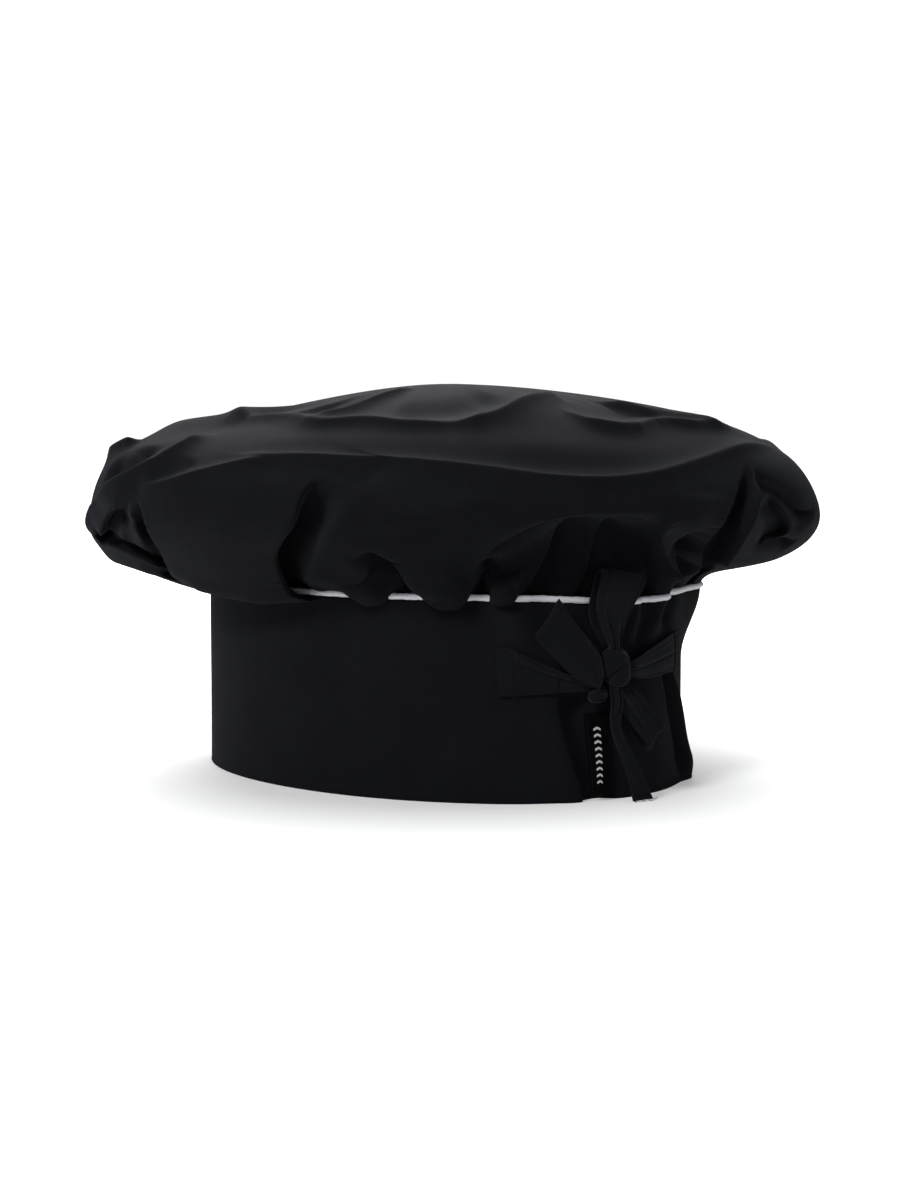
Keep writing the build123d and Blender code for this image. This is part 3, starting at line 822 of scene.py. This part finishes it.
def upper_loop():
    left = [(-2.2, 5.5, 7), (-4.8, 10, 8.2), (-8.6, 16, 8.6), (-9.6, 22, 8.4), (-7, 30, 7.2),
            (-4.6, 35, 4.6), (-4.8, 34.2, 2.8), (-7.6, 27, 2.6), (-8.8, 18, 2.8), (-3, 7, 3.4)]
    right = [(1.6, 5.5, 7.6), (1.4, 10, 8.6), (3.6, 16, 8), (7.6, 22, 7), (12.6, 28, 5.8),
             (14.8, 31.4, 4), (14.4, 30.8, 2.6), (11.4, 25, 2.4), (5.2, 16, 2.8), (2.4, 7, 3.4)]
    tape("upper_loop_tape", left, right, "upper_loop", 0.5,
         ((0.12, -0.2, 0.4, 0.08, 1.4), (0.4, -0.2, 0.26, 0.06, -1.3), (0.62, -0.2, 0.24, 0.06, 1.1),
          (0.85, -0.2, 0.2, 0.05, -0.8)),
         bend=("upper_loop", (-0.8, 6.5, 6.5), (-0.8, 13, 6.5)))


def lower_loop():
    left = [(-0.5, -7, 5.2), (1.2, -13, 6.4), (6.5, -20.5, 6.2), (16, -32, 4.6), (15.8, -31.8, 3),
            (6, -18, 2.6), (2, -8, 3.2)]
    right = [(4.8, -6, 6), (8.8, -9, 6.8), (14.6, -14.8, 6.4), (22.4, -24.6, 4.6), (22, -24.8, 3),
             (13, -14, 2.6), (6, -6.5, 3.2)]
    tape("lower_loop_tape", left, right, "lower_loop", 0.6,
         ((0.3, -0.2, 0.4, 0.08, -0.8), (0.75, -0.2, 0.45, 0.08, 0.8)),
         bend=("lower_loop", (3.6, -7.6, 5.5), (8, -13.4, 5.5)))


def upper_tail():
    right = [(-6.4, -7.2, 6.4), (-5.9, -2, 7.4), (-7, 3.6, 7.2), (-11.4, 10.4, 5.6), (-17.4, 17.8, 4.4),
             (-22.6, 24.9, 4)]
    left = [(-6.6, -7.8, 5.8), (-11, -6.8, 5.4), (-16, -3.9, 4.4), (-21.5, 1, 3.8), (-27.4, 6.6, 3.6),
            (-32.4, 11.5, 3.6)]
    tape("upper_tail_tape", left, right, "upper_tail", 0.9,
         ((0.84, -0.2, 0.6, 0.09, 1.3), (0.16, -0.2, 0.3, 0.1, -0.5)), hems=(0.93,),
         bend=("upper_tail", (-7.5, -3.5, 5), (-15, 2, 5)))


def lower_tail():
    left = [(-2.6, -7, 6.8), (-1.9, -13.9, 7), (-2.5, -19.5, 7.4), (-2, -24.4, 8), (0.6, -31.5, 8.6),
            (4, -40.5, 9.4), (6.4, -50, 9.6)]
    right = [(2.2, -7, 7.2), (2.4, -13.9, 8.2), (0.9, -19.5, 9), (0.7, -21.8, 9.2), (3.4, -27.3, 9),
             (7.6, -34.6, 9), (11.8, -43, 9.4), (14.8, -49.6, 9.6)]
    tape("lower_tail_tape", left, right, "lower_tail", 0.4,
         ((0.5, -0.2, 0.3, 0.1, -1.3), (0.2, -0.2, 0.3, 0.08, 0.8),
          (0.85, -0.2, 0.3, 0.08, 0.9)), hems=(0.93,),
         bend=("lower_tail", (0, -8.6, 7), (0, -17, 7)))


def cushion(name, centre, radii, folds, node, tilt, power=0.85):
    """A rounded lump of wrapped cloth in the bow's frame, with folds on (longitude, latitude) in degrees.

    tilt is how far it moves along the band for each mm that it rises. A low power makes it boxy.
    """
    longitude, latitude = np.broadcast_arrays(np.linspace(-180, 180, 160, endpoint=False)[:, None],
                                              np.linspace(-89.5, 89.5, 96)[None])
    a, b = np.radians(longitude), np.radians(latitude)

    def rounded(value):
        return np.sign(value) * np.abs(value) ** power

    level = rounded(np.cos(b))
    shape = np.stack([rounded(np.sin(a)) * level, rounded(np.sin(b)), rounded(np.cos(a)) * level], -1)
    spots = np.array(centre) + shape * np.array(radii)
    spots[..., 0] += tilt * (spots[..., 1] - centre[1])
    grow = np.zeros(a.shape)
    for path, width, depth, lean in folds:
        x, fade, _ = fold(longitude * np.cos(b), latitude, path, width, lean, ends=0.15)
        grow += tent(x) * fade * depth
    point = bow_point(spots + unit(shape) * grow[..., None])
    uv = (a * WRAP_RADIUS, 2 * b * WRAP_RADIUS)
    lump = grid_mesh(name, point, True, uv, tie_cloth)
    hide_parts(node)


def knot():
    cushion("knot_wrap", (0.5, -0.6, 6.3), (5.3, 7.5, 4.9), (
        (((-95, -34), (-62, -22), (-30, -6), (-2, 0), (18, -4)), 8, -1.5, 0.45),
        (((100, -6), (66, -4), (40, -8)), 8, -1.3, 0.3),
        (((-60, 62), (-30, 34), (6, 22), (50, 16)), 9, -0.45, 0),
        (((-20, 66), (10, 50), (60, 36)), 8, -0.35, 0),
        (((-70, -50), (-10, -34), (50, -34)), 8, -0.35, 0),
    ), "bow_knot", tilt=-0.1, power=0.82)
    cushion("knot_turn", (-6.2, -10.9, 4.8), (3.7, 2.7, 3.2), (
        (((-60, 16), (-10, 30), (40, 24), (56, -6), (20, -30), (-24, -18), (-14, 2)), 9, -0.9, 0),
    ), "knot_tuck", tilt=0.25)


# ---------- stitching and loose threads


STITCH_RADIUS, STITCH_FLATNESS = 0.17 * MM, 0.6
STITCH_SHOWING = 0.72  # share of the pitch that a stitch shows before it goes down into the cloth


def stitch(start, end, outward):
    """Points of one stitch from start to end, as rings of a flattened rounded rod."""
    start, end = np.asarray(start, float), np.asarray(end, float)
    along = end - start
    length = np.linalg.norm(along)
    along = along / length
    side = unit(np.cross(outward, along))
    lift = np.cross(along, side)
    turn = ring_angles(8)[:, None]
    section = np.cos(turn) * side + STITCH_FLATNESS * np.sin(turn) * lift
    rings = []
    for step in np.linspace(0, 1, 7):
        radius = STITCH_RADIUS * math.sin(math.pi * (0.06 + 0.88 * step)) ** 0.5
        rise = STITCH_RADIUS * 0.7 * math.sin(math.pi * step)
        rings.append(start + along * length * step + lift * rise + radius * section)
    return np.array(rings)


def rods_mesh(name, rods, body, node=None):
    """Joins threads, each an array of rings, into one object of closed tubes."""
    verts, faces = [], []
    for rings in rods:
        base, (count, sides) = len(verts), rings.shape[:2]
        verts += rings.reshape(-1, 3).tolist()
        for i in range(count - 1):
            for j in range(sides):
                k = (j + 1) % sides
                one, two = base + i * sides, base + (i + 1) * sides
                faces.append([one + j, one + k, two + k, two + j])
        faces.append([base + j for j in reversed(range(sides))])
        faces.append([base + (count - 1) * sides + j for j in range(sides)])
    rods_object = add_mesh(name, verts, faces, black_thread, body)
    if node:
        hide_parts(node)


def stitch_row(points, outward, pitch=2.1 * MM):
    """Stitches along a line of points, lying on the surface that faces outward."""
    points = np.asarray(points, float)
    steps = np.linalg.norm(np.diff(points, axis=0), axis=1)
    knots = np.concatenate([[0], np.cumsum(steps)])
    count = max(int(knots[-1] / pitch), 1)
    rods = []
    for i in range(count):
        ends = [(i + (1 + span) / 2) / count * knots[-1] for span in (-STITCH_SHOWING, STITCH_SHOWING)]
        spots = [[np.interp(end, knots, points[:, axis]) for axis in range(3)] for end in ends]
        rods.append(stitch(*spots, outward))
    return rods


def strap_stitches():
    for side, along, low, high in (("left", -38.2, -8.2, 5.2), ("right", 36.8, -3.2, 9.6)):
        line = strap_point([(along, low + (high - low) * i / 12, 1.75) for i in range(13)])
        _, outward = outside.at(BOW_RUN + along * MM)
        rods_mesh(side + "_strap_thread", stitch_row(line, outward), "hat", side + "_strap_stitching")


def hem_stitches():
    _, _, _, out = bow_frame()
    outer = stitch_row(bow_point([(-21.6, 23.4, 5.0), (-31.2, 10.6, 4.7)]), out, 1.9 * MM)
    inner = stitch_row(bow_point([(-20.4, 22.2, 5.2), (-29.9, 9.6, 4.9)]), out, 1.9 * MM)
    rods_mesh("upper_tail_thread", outer + inner, "upper_tail", "upper_tail_hem")
    line = bow_point([(6.2, -47.8, 10.1), (9.8, -47.5, 10.2), (13.7, -47.2, 10.1)])
    rods_mesh("lower_tail_thread", stitch_row(line, out, 1.7 * MM), "lower_tail", "lower_tail_hem")


def thread_tube(points, radius=0.09 * MM):
    """A loose thread through points, as rings."""
    path = smooth_path(points, 14)
    along = unit(np.gradient(path, axis=0))[:, None]
    side = unit(np.cross(along, [0.3, 0.2, 0.9]))
    lift = np.cross(along, side)
    turn = ring_angles(6)[None, :, None]
    return path[:, None] + radius * (np.cos(turn) * side + np.sin(turn) * lift)


def loose_threads():
    anchor = [
        [(-38.4, -8.6, 1.8), (-38.8, -10.4, 2.4), (-38.2, -12.6, 1.6)],
        [(-38, -8.6, 1.8), (-36.8, -10, 2.6), (-35, -11.4, 1.6), (-34.2, -10.8, 1.4)],
        [(-38.6, -8.8, 1.8), (-37.6, -10.6, 2.8), (-36.4, -11, 1.8)],
        [(-38.2, -8.8, 1.8), (-40.2, -12, 1.9), (-41, -14, 1.2)],
    ]
    rods_mesh("anchor_fray", [thread_tube(strap_point(p)) for p in anchor], "hat")
    tail = [
        [(10, -49.6, 9.5), (10.4, -50, 9.6), (11.6, -50.2, 9.8)],
        [(12.6, -49.6, 9.5), (13.2, -50.1, 9.6), (14.6, -50.2, 9.8)],
        [(14.6, -49.4, 9.5), (15.8, -49.8, 9.6), (16.6, -49.2, 9.8)],
        [(7.4, -49.8, 9.5), (7, -50.2, 9.6), (7.9, -50.3, 9.8)],
    ]
    rods_mesh("tail_fray", [thread_tube(bow_point(p)) for p in tail], "lower_tail")


# ---------- label

# All in mm.
LABEL_WIDTH, LABEL_HEIGHT = 9.6, 29.5
LABEL_LEFT, LABEL_SHIFT = -9.8, -3.2  # of the sewn edge, along the band from the bow
LABEL_FOOT = 3.0  # height of the lower edge
LABEL_SLANT = 0.12  # how far the sewn edge moves along the band for each mm that it comes down
LABEL_NARROWING = 0.4  # share of the width that is turned out of sight at the lower edge
LABEL_STAND, LABEL_CURL, LABEL_WAVE = 1.1, 0.9, 0.5  # height off the band, and how much more it gains


def label_surface(across, up):
    """World points on the label for mm across it from its sewn left edge and mm up from its lower edge."""
    across, up = np.broadcast_arrays(np.asarray(across, float), np.asarray(up, float))
    drop = LABEL_HEIGHT - up
    turned = across * (1 - LABEL_NARROWING * drop / LABEL_HEIGHT)
    lift = LABEL_STAND + LABEL_CURL * smooth(across / 6)
    lift = lift + LABEL_WAVE * np.sin(up * 0.16) * smooth(across / 5)
    along = LABEL_LEFT + LABEL_SLANT * drop + turned + LABEL_SHIFT
    return strap_point(np.stack([along, up + LABEL_FOOT - BOW_CENTRE[2] / MM, lift], -1))


def label():
    along = np.linspace(0, LABEL_WIDTH, 40)[:, None]
    up = np.linspace(0, LABEL_HEIGHT, 90)[None]
    point = label_surface(along, up)
    cloth = grid_mesh("label_cloth", point, False, (along * MM, up * MM), satin_material())
    thicken(cloth, 0.4 * MM, 0.0)
    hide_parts("back_label")
    outward = outside.at(BOW_RUN + LABEL_LEFT * MM)[1]
    edge = label_surface(np.full(30, 0.9), np.linspace(0.5, LABEL_HEIGHT - 0.5, 30))
    seam = stitch_row(edge + outward * 0.25 * MM, outward, 1.5 * MM)
    rods_mesh("label_thread", seam, "hat", "label_stitching")
    label_pattern(outward)


def label_pattern(outward):
    """A column of small woven chevrons, in place of lettering."""
    count, pitch, lowest, middle = 9, 2.45, 3.6, 4.9
    outline = np.array([(-1.5, 0), (0, 0.7), (1.5, 0), (1.5, 0.85), (0, 1.55), (-1.5, 0.85)])
    sides = len(outline)
    lower, upper = ((5, 4, 1, 0), (4, 3, 2, 1)), ((0, 1, 4, 5), (1, 2, 3, 4))
    verts, faces = [], []
    for i in range(count):
        corners = label_surface(outline[:, 0] + middle, outline[:, 1] + lowest + pitch * i)
        for lift in (0.15, 0.27):
            verts += (corners + outward * lift * MM).tolist()
        base, top = 2 * sides * i, 2 * sides * i + sides
        faces += [[base + corner for corner in face] for face in lower]
        faces += [[top + corner for corner in face] for face in upper]
        for j in range(sides):
            k = (j + 1) % sides
            faces.append([base + j, base + k, top + k, top + j])
    add_mesh("label_pattern", verts, faces, thread_material("white_thread", (0.5, 0.5, 0.5)),
             rounded=False)


straps()
upper_loop()
lower_loop()
upper_tail()
lower_tail()
knot()
strap_stitches()
hem_stitches()
loose_threads()
label()


# ---------- stage, light and camera


STAGE_REACH = 6.0  # metres from the middle of the floor to its sides
LIGHT_TARGET = 0.1  # height that the lights point at, in metres


def stage():
    sides = (-STAGE_REACH, STAGE_REACH)
    corners = np.array([[(x, y, 0) for y in sides] for x in sides])
    uv = (corners[..., 0], corners[..., 1])
    floor = grid_mesh("floor", corners, False, uv, floor_material(), body=None)


def area_light(name, place, target, size, power):
    data = bpy.data.lights.new(name, "AREA")
    data.shape = "DISK"
    data.size = size
    data.energy = power
    light = add_object(name, data)
    light.location = place
    light.rotation_mode = "QUATERNION"
    light.rotation_quaternion = (target - place).to_track_quat("-Z", "Y")


def studio_world():
    """White for the camera, and a soft light that is stronger from above for everything else."""
    world = bpy.data.worlds.new("studio")
    world.use_nodes = True
    nodes = world.node_tree.nodes
    seen = nodes["Background"]
    set_inputs(seen, Color=(1, 1, 1, 1), Strength=1.05)
    split = add_node(nodes, "SeparateXYZ")
    wire(add_node(nodes, "TexCoord"), "Generated", split, "Vector")
    fade = add_node(nodes, "MapRange", From_Min=-0.1, To_Min=0.1, To_Max=0.5)
    wire(split, "Z", fade, "Value")
    ambient = add_node(nodes, "Background", Color=(0.94, 0.96, 1, 1))
    wire(fade, "Result", ambient, "Strength")
    either = add_node(nodes, "MixShader")
    wire(add_node(nodes, "LightPath"), "Is Camera Ray", either, "Fac")
    wire(ambient, "Background", either, 1)
    wire(seen, "Background", either, 2)
    wire(either, "Shader", nodes["World Output"], "Surface")
    bpy.context.scene.world = world


def studio():
    bpy.context.scene.view_settings.view_transform = "Standard"
    studio_world()
    toward, right = view_directions()
    up = Vector((0, 0, 1))
    for name, place, size, power in (
        ("back_light", -1.4 * toward - 0.1 * right + 1.1 * up, 1.3, 34),
        ("top_light", 1.6 * up, 1.4, 5),
        ("front_light", 1.5 * toward - 0.9 * right + 1.2 * up, 0.5, 24),
    ):
        area_light(name, place, LIGHT_TARGET * up, size, power)


CAMERA_AZIMUTH = 140.0  # degrees, counted so that 0 looks along +Y and 90 along -X
CAMERA_DISTANCE = 0.9
CAMERA_HEIGHT = 0.141
CAMERA_DROP = 4.74  # degrees below the horizon
CAMERA_SIDE = 1.5 * MM
CAMERA_LENS, CAMERA_SENSOR = 66.9, 36  # mm


def view_directions():
    """Level unit vectors from the hat towards the camera, and to the picture's right."""
    spin = math.radians(CAMERA_AZIMUTH)
    toward = Vector((math.sin(spin), -math.cos(spin), 0))
    return toward, Vector((0, 0, 1)).cross(toward)


def camera():
    toward, right = view_directions()
    data = bpy.data.cameras.new("camera")
    data.lens = CAMERA_LENS
    data.sensor_width = CAMERA_SENSOR
    data.sensor_fit = "AUTO"
    lens = add_object("camera", data)
    lens.location = toward * CAMERA_DISTANCE + right * CAMERA_SIDE + Vector((0, 0, CAMERA_HEIGHT))
    spin = Matrix.Rotation(math.radians(CAMERA_AZIMUTH), 4, "Z")
    tilt = Matrix.Rotation(math.radians(90 - CAMERA_DROP), 4, "X")
    lens.rotation_euler = (spin @ tilt).to_euler()
    bpy.context.scene.camera = lens


stage()
studio()
camera()
